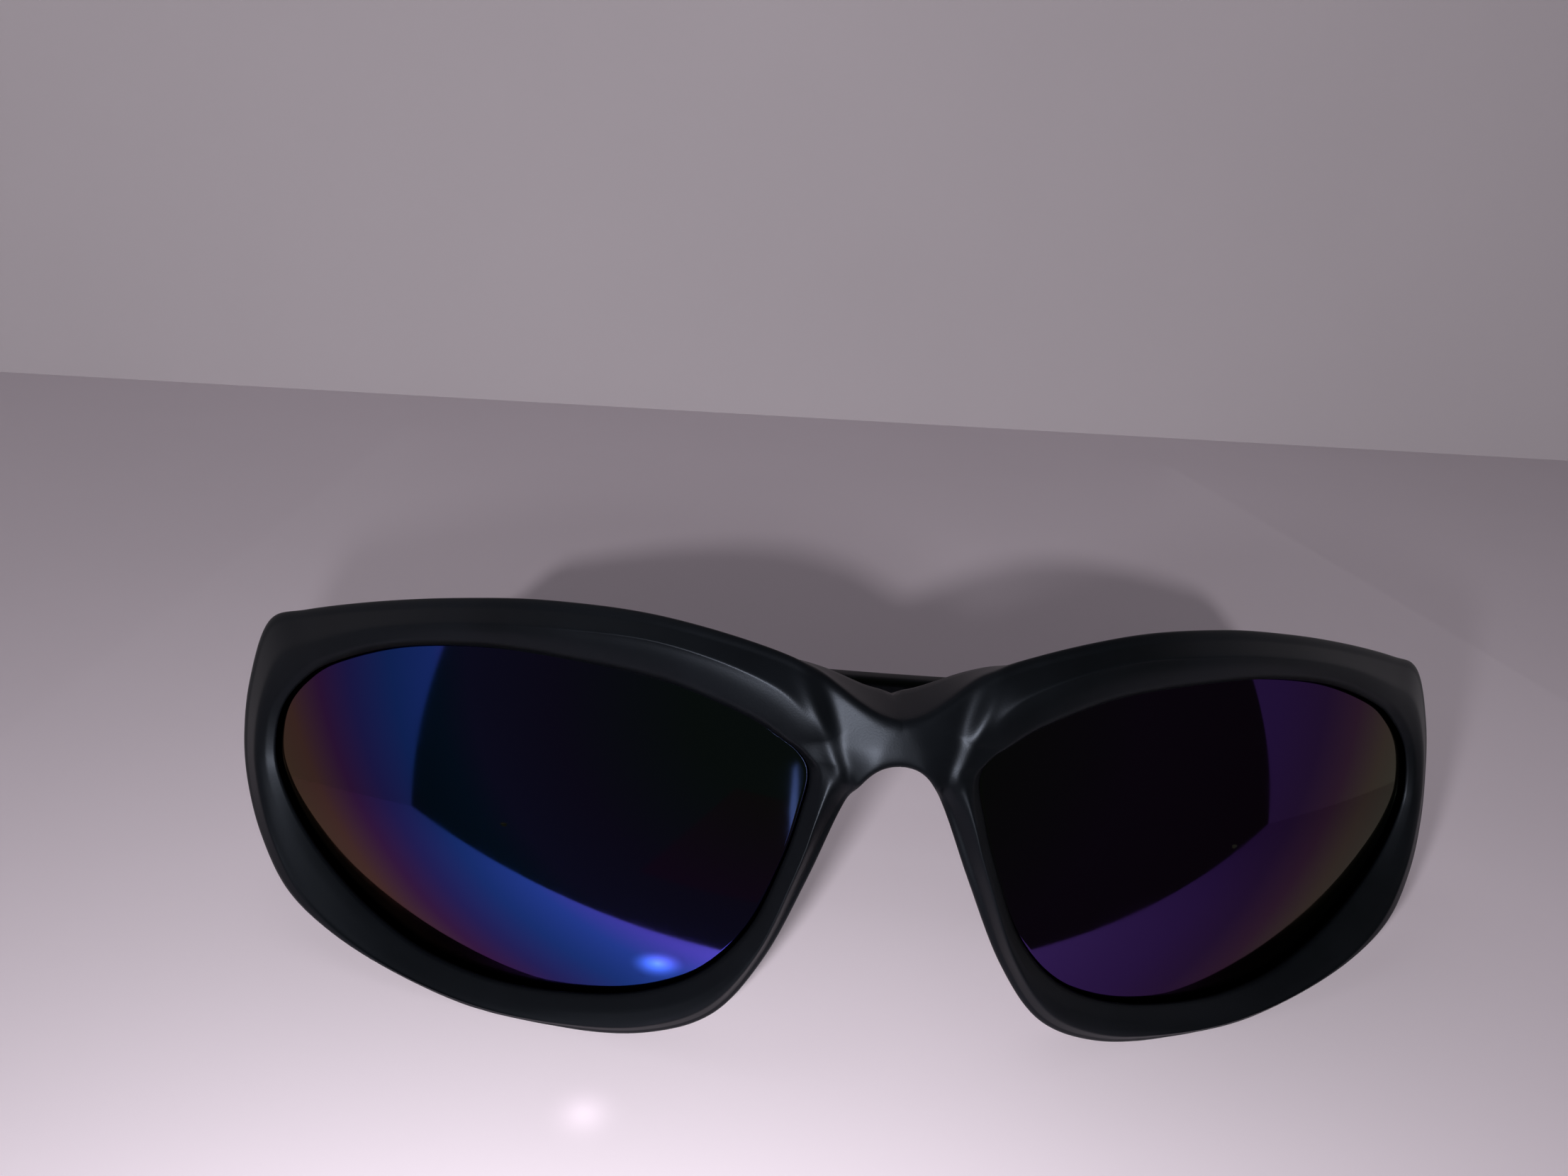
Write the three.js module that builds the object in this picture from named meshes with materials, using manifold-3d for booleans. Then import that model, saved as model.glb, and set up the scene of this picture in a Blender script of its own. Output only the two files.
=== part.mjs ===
// Safety glasses, folded: a thick moulded wraparound front with two mirror-coated lenses, soft nose
// pads and two temples on riveted three-knuckle metal hinges, with soft sleeves on the ear ends.
// Millimetres. +X to the viewer's right, +Y from the lenses towards the wearer, +Z up.
// The shapes are worked out in a lens frame (x = 0 on the symmetry plane, z = 0 at lens mid height),
// and the whole object is then moved so that its origin is at the centre of its base.

import * as THREE from 'three';
import { mergeVertices } from 'three/addons/utils/BufferGeometryUtils.js';
import Module from 'manifold-3d';

const wasm = await Module();
wasm.setup();

// ---------------------------------------------------------------- driving dimensions
const ORIGIN_Y = 25.03;             // the base centre in the lens frame
const FLOOR_Z = -22.5;              // the surface that the lower rims rest on

// The lens surface, y as a function of x and z: wrap, dish and the backward lean of the front.
const WRAP_LINEAR = 0.038;
const WRAP = 0.0048;
const DISH = 0.0073;
const LEAN = 0.2345;

const LENS_THICKNESS = 2.0;
const LENS_TUCK = 1.1;              // how far the lens runs into its groove
const GROOVE_DEPTH = 1.5;
const GROOVE_GAP = 0.35;            // gap on the lens's front and back faces
const BACK_LIP = 1.0;               // wall behind the groove

const HINGE_X = 66.6;
const HINGE_Y = 37.6;
const HINGE_Z = -3.5;
const KNUCKLE_R = 2.2;
const PIN_R = 0.9;
const CLEARANCE = 0.3;

const TEMPLE_LENGTH = 95;           // hinge axis to ear tip
const TONGUE_START = 70;            // where the ear sleeve begins
const TONGUE_END = 87;
const FOLD_OUTER = 7;               // degrees that the rear temple stops short of closed
const FOLD_INNER = 7;               // degrees that the front temple closes past square

const RIM_STATIONS = 72;
const MOST_DRAFT = 3.8;
const TOP_DRAFT = 0.46;             // how fast the top of the brow falls away towards the back
const OFF_PLANE = 0.02;             // the two halves of the front share this much at x = 0

// Stations round one rim, from the bridge top over the brow, down the side, along the lower rim and
// up the nose flank to the nose arch. lens: x, z of the opening. edge: x, z of the outer outline.
// Heights in front of the lens surface: lip at the opening, crest of the face, outer edge.
// at: where the crest lies between opening and edge. back: depth of the rim behind the lens surface.
const RIM = [
  { lens: [12.0, 11.4], edge: [0, 14.8], lip: 2.4, crest: 3.0, rim: 2.6, at: 0.33, back: 4.6 },
  { lens: [16.0, 13.2], edge: [10.7, 19.6], lip: 3.0, crest: 4.8, rim: 3.3, at: 0.62, back: 4.2 },
  { lens: [24.0, 15.2], edge: [23.5, 22.3], lip: 3.2, crest: 5.8, rim: 4.6, at: 0.70, back: 3.6 },
  { lens: [34.0, 15.7], edge: [35.5, 22.0], lip: 3.0, crest: 5.4, rim: 3.9, at: 0.66, back: 3.5 },
  { lens: [43.5, 15.2], edge: [46.2, 20.1], lip: 2.6, crest: 4.2, rim: 2.6, at: 0.62, back: 3.5 },
  { lens: [53.0, 13.2], edge: [56.4, 17.3], lip: 2.2, crest: 3.0, rim: 1.1, at: 0.58, back: 3.5 },
  { lens: [61.0, 9.7], edge: [65.8, 14.1], lip: 1.8, crest: 2.4, rim: 0.4, at: 0.50, back: 3.8 },
  { lens: [65.0, 6.6], edge: [70.9, 11.6], lip: 1.6, crest: 2.2, rim: 0.4, at: 0.50, back: 4.4 },
  { lens: [67.7, 2.8], edge: [73.2, 4.8], lip: 1.5, crest: 2.1, rim: 0.5, at: 0.50, back: 4.4 },
  { lens: [68.5, -1.8], edge: [73.9, -1.9], lip: 1.5, crest: 2.2, rim: 0.7, at: 0.50, back: 4.2 },
  { lens: [67.6, -5.2], edge: [72.8, -6.9], lip: 1.7, crest: 2.8, rim: 1.9, at: 0.52, back: 3.8 },
  { lens: [65.0, -9.2], edge: [70.1, -11.6], lip: 2.0, crest: 3.9, rim: 3.6, at: 0.58, back: 3.5 },
  { lens: [61.0, -13.0], edge: [66.0, -16.0], lip: 2.3, crest: 4.8, rim: 4.9, at: 0.64, back: 3.5 },
  { lens: [55.5, -16.7], edge: [60.0, -18.9], lip: 2.5, crest: 5.0, rim: 5.1, at: 0.68, back: 3.5 },
  { lens: [49.0, -19.3], edge: [51.8, -21.2], lip: 2.5, crest: 4.6, rim: 4.6, at: 0.68, back: 3.5 },
  { lens: [41.0, -20.0], edge: [42.2, -22.8], lip: 2.4, crest: 3.9, rim: 3.8, at: 0.66, back: 3.5 },
  { lens: [32.5, -18.9], edge: [32.8, -22.8], lip: 2.3, crest: 3.3, rim: 2.8, at: 0.62, back: 3.5 },
  { lens: [25.0, -16.8], edge: [24.2, -21.3], lip: 2.3, crest: 3.2, rim: 2.4, at: 0.58, back: 3.6 },
  { lens: [18.8, -13.2], edge: [17.2, -17.6], lip: 2.4, crest: 3.2, rim: 2.1, at: 0.54, back: 4.2 },
  { lens: [14.2, -7.6], edge: [12.3, -11.0], lip: 2.4, crest: 3.0, rim: 1.2, at: 0.48, back: 5.0 },
  { lens: [11.2, -0.3], edge: [8.3, -2.3], lip: 2.2, crest: 2.6, rim: 0.6, at: 0.44, back: 5.6 },
  { lens: [9.6, 5.0], edge: [5.2, 5.2], lip: 2.0, crest: 2.5, rim: 0.6, at: 0.40, back: 5.8 },
  { lens: [9.0, 8.0], edge: [2.7, 9.4], lip: 2.0, crest: 2.5, rim: 1.4, at: 0.36, back: 5.6 },
  { lens: [9.8, 10.0], edge: [0, 10.4], lip: 2.2, crest: 2.6, rim: 2.2, at: 0.34, back: 5.2 },
];

// ---------------------------------------------------------------- helpers
const lensSurface = (x, z) =>
  WRAP_LINEAR * Math.abs(x) + WRAP * x * x + DISH * z * z + LEAN * z;

const lerp = THREE.MathUtils.lerp;

// A smooth value through four neighbours (uniform Catmull-Rom).
function smooth(a, b, c, d, t) {
  const linear = c - a;
  const square = 2 * a - 5 * b + 4 * c - d;
  const cube = 3 * b - a - 3 * c + d;
  return 0.5 * (2 * b + linear * t + square * t * t + cube * t * t * t);
}

// One named value of the rim at position u (0 .. RIM.length, closed).
function rimValue(u, pick, { seam = false, flips = false } = {}) {
  const count = RIM.length;
  const i = Math.floor(u) % count;
  const t = u - Math.floor(u);
  if (seam && i === count - 1) return lerp(pick(RIM[count - 1]), pick(RIM[0]), t);
  const sample = (k) => {
    if (!seam) return pick(RIM[(k + count) % count]);
    if (k < 0) return (flips ? -1 : 1) * pick(RIM[-k]);
    if (k > count - 1) return (flips ? -1 : 1) * pick(RIM[2 * (count - 1) - k]);
    return pick(RIM[k]);
  };
  return smooth(sample(i - 1), sample(i), sample(i + 1), sample(i + 2), t);
}

// An indexed geometry from rings of points; both directions close unless capped.
function loft(rings, { closed = false } = {}) {
  const width = rings[0].length;
  const points = rings.flat();
  const faces = [];
  const last = closed ? rings.length : rings.length - 1;
  for (let i = 0; i < last; i += 1) {
    const row = i * width;
    const next = ((i + 1) % rings.length) * width;
    for (let j = 0; j < width; j += 1) {
      const k = (j + 1) % width;
      faces.push(row + j, next + j, next + k, row + j, next + k, row + k);
    }
  }
  if (!closed) {
    const end = (rings.length - 1) * width;
    for (let j = 1; j < width - 1; j += 1) {
      faces.push(0, j, j + 1);
      faces.push(end, end + j + 1, end + j);
    }
  }
  const geometry = new THREE.BufferGeometry();
  geometry.setAttribute('position', new THREE.Float32BufferAttribute(points.flat(), 3));
  geometry.setIndex(faces);
  return outward(geometry);
}

function signedVolume(geometry) {
  const p = geometry.attributes.position;
  const index = geometry.index;
  const a = new THREE.Vector3();
  const b = new THREE.Vector3();
  const c = new THREE.Vector3();
  let sum = 0;
  for (let i = 0; i < index.count; i += 3) {
    a.fromBufferAttribute(p, index.getX(i));
    b.fromBufferAttribute(p, index.getX(i + 1));
    c.fromBufferAttribute(p, index.getX(i + 2));
    sum += a.dot(b.cross(c));
  }
  return sum / 6;
}

function outward(geometry) {
  if (signedVolume(geometry) > 0) return geometry;
  const index = geometry.index;
  for (let i = 0; i < index.count; i += 3) {
    const first = index.getX(i);
    index.setX(i, index.getX(i + 1));
    index.setX(i + 1, first);
  }
  return geometry;
}

function mirrored(geometry) {
  const copy = geometry.clone();
  copy.scale(-1, 1, 1);
  return outward(copy);
}

function toSolid(geometry) {
  const bare = geometry.clone();
  for (const name of Object.keys(bare.attributes)) {
    if (name !== 'position') bare.deleteAttribute(name);
  }
  const merged = mergeVertices(bare, 1e-5);
  const mesh = new wasm.Mesh({
    numProp: 3,
    vertProperties: Float32Array.from(merged.attributes.position.array),
    triVerts: Uint32Array.from(merged.index.array),
  });
  return new wasm.Manifold(mesh);
}

function fromSolid(solid) {
  const mesh = solid.getMesh();
  const geometry = new THREE.BufferGeometry();
  geometry.setAttribute('position', new THREE.Float32BufferAttribute(mesh.vertProperties, 3));
  geometry.setIndex(Array.from(mesh.triVerts));
  return geometry;
}

// A box between two corners, and a cylinder along an axis between two ends.
function block(low, high) {
  const size = high.map((value, i) => value - low[i]);
  const centre = high.map((value, i) => (value + low[i]) / 2);
  return new THREE.BoxGeometry(...size).translate(...centre);
}

function rod(start, end, radius, sides = 20) {
  const from = new THREE.Vector3(...start);
  const to = new THREE.Vector3(...end);
  const along = to.clone().sub(from);
  const geometry = new THREE.CylinderGeometry(radius, radius, along.length(), sides);
  const up = new THREE.Vector3(0, 1, 0);
  geometry.applyQuaternion(new THREE.Quaternion().setFromUnitVectors(up, along.normalize()));
  const middle = from.add(to).multiplyScalar(0.5);
  return geometry.translate(middle.x, middle.y, middle.z);
}

// ---------------------------------------------------------------- front
// The rim's section at position u: the lens lip, flared inner wall, crowned face, rounded outer
// edge, flat back and the groove that holds the lens.
function rimSection(u) {
  const lensX = rimValue(u, (s) => s.lens[0]);
  const lensZ = rimValue(u, (s) => s.lens[1]);
  const edgeX = Math.max(rimValue(u, (s) => s.edge[0], { seam: true, flips: true }), -OFF_PLANE);
  const edgeZ = rimValue(u, (s) => s.edge[1], { seam: true });
  const value = (name) => rimValue(u, (s) => s[name]);
  const lip = value('lip');
  const crest = value('crest');
  const edge = rimValue(u, (s) => s.rim, { seam: true });
  const crestAt = value('at');
  const back = value('back');
  const atSeam = edgeX < 0.5;
  const upward = Math.max(0, (edgeZ - lensZ) / Math.hypot(edgeX - lensX, edgeZ - lensZ));
  const draft = 0.06 + TOP_DRAFT * upward * THREE.MathUtils.smoothstep(edgeX, 2, 14);
  const drop = Math.min(draft * (edge + back), MOST_DRAFT);
  const outX = atSeam ? -OFF_PLANE : edgeX;
  const run = Math.hypot(outX - lensX, edgeZ - lensZ);
  const round = atSeam ? 0 : Math.min(0.8, run * 0.25);
  const flare = Math.min(1.3, run * 0.35);
  const groove = Math.min(GROOVE_DEPTH, run - 1);
  const at = (reach, height) => {
    const x = lerp(lensX, outX, reach / run);
    const z = lerp(lensZ, edgeZ, reach / run);
    return [x, lensSurface(x, z) - height, z];
  };
  const crestReach = Math.max(crestAt * run, flare + 0.3);
  return [
    at(0, GROOVE_GAP),
    at(flare * 0.45, lip * 0.55),
    at(flare, lip),
    at((flare + crestReach) / 2, (lip + crest) / 2 + 0.12 * (crest - lip)),
    at(crestReach, crest),
    at((crestReach + run - round) / 2, (crest + edge) / 2 + 0.16 * Math.abs(crest - edge)),
    at(run - round, edge),
    at(run - round * 0.3, edge - round * 0.3),
    at(run, edge - round),
    at(atSeam ? run : run - drop, -back + round),
    at(atSeam ? run : run - drop - round, -back),
    at(groove + 0.4, -back),
    at(0.35, -back + 0.1),
    at(0, -LENS_THICKNESS - GROOVE_GAP - BACK_LIP),
    at(0, -LENS_THICKNESS - GROOVE_GAP),
    at(groove, -LENS_THICKNESS - GROOVE_GAP),
    at(groove, GROOVE_GAP),
  ];
}

function halfRim() {
  const rings = [];
  for (let i = 0; i < RIM_STATIONS; i += 1) {
    rings.push(rimSection((i * RIM.length) / RIM_STATIONS));
  }
  return loft(rings, { closed: true });
}

// The end piece carries the rim's side back to the hinge.
function roundedSlab(x0, x1, y, z0, z1, radius) {
  const corners = [
    [x1 - radius, z1 - radius, 0],
    [x0 + radius, z1 - radius, 1],
    [x0 + radius, z0 + radius, 2],
    [x1 - radius, z0 + radius, 3],
  ];
  const ring = [];
  for (const [cx, cz, quarter] of corners) {
    for (let k = 0; k <= 3; k += 1) {
      const angle = (quarter + k / 3) * (Math.PI / 2);
      ring.push([cx + radius * Math.cos(angle), y, cz + radius * Math.sin(angle)]);
    }
  }
  return ring;
}

function endPiece() {
  return loft([
    roundedSlab(70.9, 72.4, 28.6, -6.0, 3.0, 0.6),
    roundedSlab(70.0, 73.2, 30.2, -8.0, 4.4, 1.1),
    roundedSlab(69.2, 73.7, 32.5, -9.4, 4.6, 1.2),
    roundedSlab(69.2, 73.8, 38.0, -10.0, 3.9, 1.2),
  ]);
}

// Blind holes for the rivets that hold one hinge leaf; y0 is the first hole's distance from the axis.
const RIVETS = { upper: { y: 5.0, z: 2.4 }, lower: { y: 5.0, z: -2.4 } };
const RIVET_R = 0.75;
const RIVET_HEAD_R = 1.25;
const LEAF = { near: 1.2, thick: 1.0, half: 4.2, length: 7.0 };
const LEAF_FACE = LEAF.near + LEAF.thick + CLEARANCE;   // where the moulding's inner face stands
const RIVET_REACH = LEAF_FACE + 2.2;

function rivetHole(centre) {
  const [x, y, z] = centre;
  return rod([x + LEAF.near - 0.5, y, z], [x + RIVET_REACH + CLEARANCE, y, z], RIVET_R + CLEARANCE, 12);
}

const floorCutter = block([-100, -60, FLOOR_Z - 10], [100, 100, FLOOR_Z]);

function frontGeometry() {
  const rim = toSolid(halfRim());
  const arm = toSolid(endPiece());
  let half = rim.add(arm);
  for (const { y, z } of Object.values(RIVETS)) {
    half = half.subtract(toSolid(rivetHole([HINGE_X, HINGE_Y - y, HINGE_Z + z])));
  }
  const other = toSolid(mirrored(fromSolid(half)));
  return fromSolid(half.add(other).subtract(toSolid(floorCutter)));
}

// ---------------------------------------------------------------- lens
function lensGeometry() {
  const sides = 36;
  const fractions = [1, 0.75, 0.5, 0.25];
  const centre = [40, -2];
  const outline = [];
  for (let i = 0; i < sides; i += 1) {
    const u = (i * RIM.length) / sides;
    const x = rimValue(u, (s) => s.lens[0]);
    const z = rimValue(u, (s) => s.lens[1]);
    const edgeX = rimValue(u, (s) => s.edge[0], { seam: true, flips: true });
    const edgeZ = rimValue(u, (s) => s.edge[1], { seam: true });
    const run = Math.hypot(edgeX - x, edgeZ - z);
    const tuck = Math.min(LENS_TUCK, run - 1 - (GROOVE_DEPTH - LENS_TUCK));
    outline.push([x + ((edgeX - x) * tuck) / run, z + ((edgeZ - z) * tuck) / run]);
  }
  const ring = (fraction, depth) => outline.map(([x, z]) => {
    const px = lerp(centre[0], x, fraction);
    const pz = lerp(centre[1], z, fraction);
    return [px, lensSurface(px, pz) + depth, pz];
  });
  const rings = [
    ...fractions.slice().reverse().map((f) => ring(f, 0)),
    ...fractions.map((f) => ring(f, LENS_THICKNESS)),
  ];
  return loft(rings);
}

// ---------------------------------------------------------------- nose pads
// A soft pad clipped behind each nose flank, following the flank's slope.
function nosePadGeometry() {
  const rings = [];
  const steps = 10;
  for (let i = 0; i <= steps; i += 1) {
    const t = i / steps;
    const u = lerp(19.0, 21.3, t);
    const x = rimValue(u, (s) => s.edge[0], { seam: true, flips: true });
    const z = rimValue(u, (s) => s.edge[1], { seam: true });
    const back = rimValue(u, (s) => s.back);
    const swell = Math.sqrt(Math.max(1 - (2 * t - 1) ** 2, 0.04));
    const y = lensSurface(x, z) + back + CLEARANCE;
    const width = 3.0 * swell;
    const depth = 2.6 * swell;
    const lean = 0.9;
    rings.push([
      [x + 0.9, y, z],
      [x + 0.9 + width, y, z],
      [x + 1.1 + width + lean, y + depth * 0.6, z],
      [x + 0.7 + width * 0.6 + lean, y + depth, z],
      [x + 0.3 + lean, y + depth, z],
      [x + 0.4, y + depth * 0.5, z],
    ]);
  }
  return loft(rings);
}

// ---------------------------------------------------------------- temple, in its own hinge frame
// y runs from the hinge axis to the ear tip, x outwards, z up from the hinge's mid height.
const BEND_START = 73;
const BEND_BLEND = 11;
const BEND_SLOPE = 1.1;
const TEMPLE_TOP = [[2, 7.4], [14, 7.2], [30, 5.6], [46, 4.3], [58, 4.0], [73, 4.0]];
const TEMPLE_TALL = [[2, 13.2], [14, 12.8], [30, 10.4], [46, 7.6], [58, 6.0], [69, 5.1], [95, 5.6]];
const TEMPLE_WIDE = [[2, 4.4], [14, 4.4], [40, 3.6], [66, 3.3], [95, 3.3]];

// A smooth curve through the table's points, level at both ends.
function along(table, s) {
  const slope = (i) => {
    if (i === 0 || i === table.length - 1) return 0;
    return (table[i + 1][1] - table[i - 1][1]) / (table[i + 1][0] - table[i - 1][0]);
  };
  const after = table.findIndex(([at]) => at >= s);
  if (after === 0) return table[0][1];
  if (after < 0) return table[table.length - 1][1];
  const [s0, v0] = table[after - 1];
  const [s1, v1] = table[after];
  const t = (s - s0) / (s1 - s0);
  const bend = (slope(after - 1) * (1 - t) - slope(after) * t) * (s1 - s0);
  return lerp(v0, v1, t * t * (3 - 2 * t)) + t * (1 - t) * bend;
}

function templeTop(s) {
  const past = s - BEND_START;
  if (past <= 0) return along(TEMPLE_TOP, s);
  const drop = past < BEND_BLEND
    ? (BEND_SLOPE * past * past) / (2 * BEND_BLEND)
    : BEND_SLOPE * (past - BEND_BLEND / 2);
  return along(TEMPLE_TOP, BEND_START) - drop;
}

function templeSection(s, { shrink = 0, tip = 1 } = {}) {
  const tall = along(TEMPLE_TALL, s);
  const wide = along(TEMPLE_WIDE, s) - 2 * shrink;
  const middle = templeTop(s) - tall / 2;
  const halfTall = (tall / 2 - shrink) * tip;
  const inner = LEAF_FACE - 1.6 * (s / TEMPLE_LENGTH) ** 2 + shrink;
  const radius = Math.min(1.1, wide * 0.32, halfTall * 0.5);
  const half = (wide / 2) * Math.min(1, 0.55 + 0.45 * tip);
  const centre = inner + wide / 2;
  return roundedSlab(centre - half, centre + half, s, middle - halfTall, middle + halfTall, radius);
}

// The ear end bends down, so its sections lean with it.
function leanRing(ring, s, slope) {
  const middle = templeTop(s) - along(TEMPLE_TALL, s) / 2;
  return ring.map(([x, y, z]) => [x, y + (z - middle) * slope * 0.45, z]);
}

function slopeAt(s) {
  return THREE.MathUtils.clamp((s - BEND_START) / BEND_BLEND, 0, 1) * BEND_SLOPE;
}

function templeRings(stops, options) {
  return stops.map((s) => leanRing(templeSection(s, options), s, slopeAt(s)));
}

const spread = (from, to, count) =>
  Array.from({ length: count + 1 }, (unused, i) => lerp(from, to, i / count));

function templeGeometry() {
  const bodyRings = templeRings([1.2, ...spread(2.4, TONGUE_START, 20)]);
  const tongueRings = templeRings(spread(TONGUE_START - 2, TONGUE_END, 8), { shrink: 1.0 });
  let solid = toSolid(loft(bodyRings)).add(toSolid(loft(tongueRings)));
  for (const { y, z } of Object.values(RIVETS)) {
    solid = solid.subtract(toSolid(rivetHole([0, y, z])));
  }
  return fromSolid(solid);
}

function sleeveGeometry() {
  const start = TONGUE_START + CLEARANCE;
  const body = templeRings(spread(start, TEMPLE_LENGTH - 2, 10));
  const tip = [[TEMPLE_LENGTH - 1, 0.86], [TEMPLE_LENGTH - 0.3, 0.62], [TEMPLE_LENGTH, 0.4]]
    .map(([s, scale]) => leanRing(templeSection(s, { tip: scale }), s, slopeAt(s)));
  const hollow = templeRings(spread(TONGUE_START - 1, TONGUE_END + CLEARANCE, 9), { shrink: 0.7 });
  return fromSolid(toSolid(loft([...body, ...tip])).subtract(toSolid(loft(hollow))));
}

// ---------------------------------------------------------------- hinge, in the hinge frame
const KNUCKLE_HALF = 5.0;           // half the barrel's height
const MIDDLE_HALF = 1.7;            // half the temple knuckle's height

// A leaf: a strap beside the moulding, and knuckles round the axis. side is +1 towards the ear.
function leafGeometry(side, knuckles) {
  const low = Math.min(side * 1.0, side * LEAF.length);
  const high = Math.max(side * 1.0, side * LEAF.length);
  let solid = toSolid(block([LEAF.near, low, -LEAF.half], [LEAF.near + LEAF.thick, high, LEAF.half]));
  const sweep = toSolid(rod([0, 0, -KNUCKLE_HALF], [0, 0, KNUCKLE_HALF], KNUCKLE_R + CLEARANCE));
  solid = solid.subtract(sweep);
  for (const [z0, z1] of knuckles) {
    const barrel = toSolid(rod([0, 0, z0], [0, 0, z1], KNUCKLE_R));
    const web = toSolid(block(
      [0, Math.min(0, side * 2.8), z0],
      [LEAF.near + LEAF.thick, Math.max(0, side * 2.8), z1],
    ));
    solid = solid.add(barrel).add(web);
  }
  const bore = toSolid(rod([0, 0, -8], [0, 0, 8], PIN_R + CLEARANCE, 16));
  solid = solid.subtract(bore);
  for (const { y, z } of Object.values(RIVETS)) {
    solid = solid.subtract(toSolid(rod([0, side * y, z], [4, side * y, z], RIVET_R + CLEARANCE, 12)));
  }
  return fromSolid(solid);
}

const OUTER_KNUCKLES = [[-KNUCKLE_HALF, -MIDDLE_HALF - CLEARANCE], [MIDDLE_HALF + CLEARANCE, KNUCKLE_HALF]];
const MIDDLE_KNUCKLE = [[-MIDDLE_HALF, MIDDLE_HALF]];

function screwGeometry() {
  const top = KNUCKLE_HALF + CLEARANCE;
  const shank = toSolid(rod([0, 0, -KNUCKLE_HALF], [0, 0, top + 0.2], PIN_R, 16));
  const head = toSolid(rod([0, 0, top], [0, 0, top + 0.9], 1.8));
  const slot = toSolid(block([-2.5, -0.25, top + 0.5], [2.5, 0.25, top + 2]));
  return fromSolid(shank.add(head).subtract(slot));
}

function rivetGeometry(side, { y, z }) {
  const shank = toSolid(rod([LEAF.near - 0.4, side * y, z], [RIVET_REACH, side * y, z], RIVET_R, 12));
  const headFace = LEAF.near - CLEARANCE;
  const head = toSolid(rod([headFace - 0.5, side * y, z], [headFace, side * y, z], RIVET_HEAD_R, 16));
  return fromSolid(shank.add(head));
}

// ---------------------------------------------------------------- materials
const materials = {
  frame: { color: 0x0b0c0f, roughness: 0.36, metalness: 0 },
  lens: { color: 0x1c1430, roughness: 0.06, metalness: 0.6 },
  rubber: { color: 0x121214, roughness: 0.75, metalness: 0 },
  steel: { color: 0x9a9ca0, roughness: 0.35, metalness: 1 },
};

function named(name, geometry, look) {
  const mesh = new THREE.Mesh(geometry, new THREE.MeshStandardMaterial(materials[look]));
  mesh.name = name;
  return mesh;
}

// ---------------------------------------------------------------- assembly
const glasses = new THREE.Group();
glasses.position.set(0, -ORIGIN_Y, -FLOOR_Z);
glasses.add(named('front_frame', frontGeometry(), 'frame'));

const sides = {
  right: { sign: 1, turn: 90 - FOLD_OUTER },
  left: { sign: -1, turn: -(90 + FOLD_INNER) },
};

const shapes = {
  lens: lensGeometry(),
  pad: nosePadGeometry(),
  temple: templeGeometry(),
  sleeve: sleeveGeometry(),
  frontLeaf: leafGeometry(-1, OUTER_KNUCKLES),
  templeLeaf: leafGeometry(1, MIDDLE_KNUCKLE),
  screw: screwGeometry(),
};

for (const [side, { sign, turn }] of Object.entries(sides)) {
  const handed = (geometry) => (sign > 0 ? geometry : mirrored(geometry));
  glasses.add(named(`lens_${side}`, handed(shapes.lens), 'lens'));
  glasses.add(named(`nose_pad_${side}`, handed(shapes.pad), 'rubber'));

  const hinge = new THREE.Group();
  hinge.position.set(sign * HINGE_X, HINGE_Y, HINGE_Z);
  hinge.add(named(`front_leaf_${side}`, handed(shapes.frontLeaf), 'steel'));
  hinge.add(named(`hinge_screw_${side}`, handed(shapes.screw), 'steel'));
  glasses.add(hinge);

  const arm = new THREE.Group();
  arm.rotation.z = THREE.MathUtils.degToRad(turn);
  arm.add(named(`temple_${side}`, handed(shapes.temple), 'frame'));
  arm.add(named(`ear_sleeve_${side}`, handed(shapes.sleeve), 'rubber'));
  arm.add(named(`temple_leaf_${side}`, handed(shapes.templeLeaf), 'steel'));
  hinge.add(arm);

  for (const [place, spot] of Object.entries(RIVETS)) {
    hinge.add(named(`front_rivet_${place}_${side}`, handed(rivetGeometry(-1, spot)), 'steel'));
    arm.add(named(`temple_rivet_${place}_${side}`, handed(rivetGeometry(1, spot)), 'steel'));
  }
}

export default glasses;
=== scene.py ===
import math

import bmesh
import bpy
from mathutils import Euler, Matrix, Vector

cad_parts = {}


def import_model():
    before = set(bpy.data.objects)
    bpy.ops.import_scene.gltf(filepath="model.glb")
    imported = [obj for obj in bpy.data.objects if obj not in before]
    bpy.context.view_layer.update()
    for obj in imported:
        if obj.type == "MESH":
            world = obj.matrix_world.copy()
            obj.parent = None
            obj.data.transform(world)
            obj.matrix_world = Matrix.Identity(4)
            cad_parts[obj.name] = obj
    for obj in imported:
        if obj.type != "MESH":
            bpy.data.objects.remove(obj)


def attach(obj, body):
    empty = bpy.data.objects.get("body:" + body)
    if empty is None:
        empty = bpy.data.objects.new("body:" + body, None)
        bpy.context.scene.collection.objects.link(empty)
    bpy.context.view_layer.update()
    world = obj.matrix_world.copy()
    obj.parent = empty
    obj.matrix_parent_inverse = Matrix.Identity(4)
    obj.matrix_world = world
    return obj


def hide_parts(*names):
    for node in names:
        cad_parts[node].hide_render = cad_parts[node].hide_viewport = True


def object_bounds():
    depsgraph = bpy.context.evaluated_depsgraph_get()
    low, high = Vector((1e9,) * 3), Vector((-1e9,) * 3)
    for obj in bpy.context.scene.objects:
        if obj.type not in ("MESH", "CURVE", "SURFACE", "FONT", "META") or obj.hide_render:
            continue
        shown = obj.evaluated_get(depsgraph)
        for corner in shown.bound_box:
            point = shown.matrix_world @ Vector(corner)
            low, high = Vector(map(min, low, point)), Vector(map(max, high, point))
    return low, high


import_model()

cad_low, cad_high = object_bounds()

# ------------------------------------------------------------------ shape, in millimetres
# The lens frame has x = 0 on the symmetry plane and z = 0 at the lenses' mid height.
MM = 0.001
ORIGIN_Y = 25.03
FLOOR_Z = -22.5
BOX_SKIN = 0.03                     # how far the front shell stays inside the CAD model's box

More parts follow.
